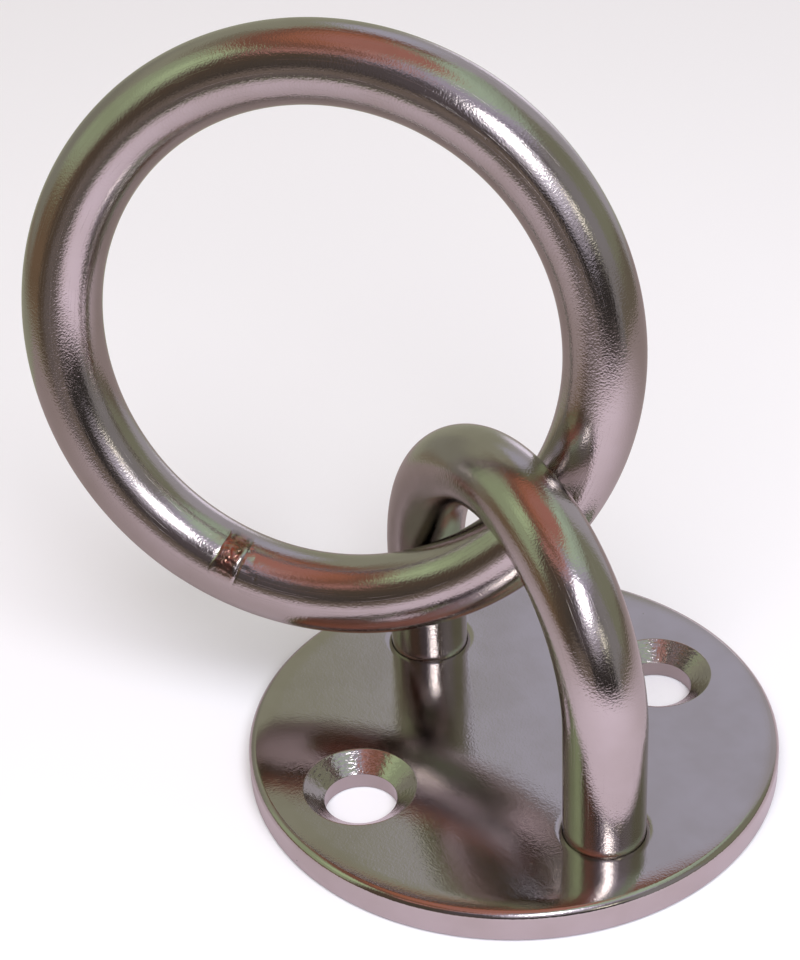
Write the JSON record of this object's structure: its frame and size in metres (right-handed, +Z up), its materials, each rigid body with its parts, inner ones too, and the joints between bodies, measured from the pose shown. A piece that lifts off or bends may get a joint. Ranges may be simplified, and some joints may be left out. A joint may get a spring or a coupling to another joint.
{
  "type": "pad eye with ring",
  "caption": "Round countersunk base plate with a welded round-bar eye that holds a loose welded ring, in polished stainless steel.",
  "frame": {"origin": "centre of the base plate's underside, in the plane that it is screwed down to", "axes": "+Z up, out of the plate's top face; the two screw holes lie along X; the two feet of the eye lie along Y"},
  "size_m": [0.0447, 0.0522, 0.0542],
  "materials": {
    "polished_steel": "mirror-polished stainless steel with a faint polishing grain",
    "weld_steel": "weld metal ground back and polished over"
  },
  "bodies": {
    "fixed_eye": {"base_plate": "polished_steel", "eye_bow": "polished_steel", "front_foot_weld": "weld_steel", "rear_foot_weld": "weld_steel"},
    "loose_ring": {"ring": "polished_steel", "ring_weld": "weld_steel"}
  },
  "joints": [
    {"name": "ring_swing", "type": "hinge", "parent": "fixed_eye", "child": "loose_ring", "pos_m": [0, 0, 0.0245], "axis": [0, 1, 0], "range_deg": [0, 132]}
  ]
}
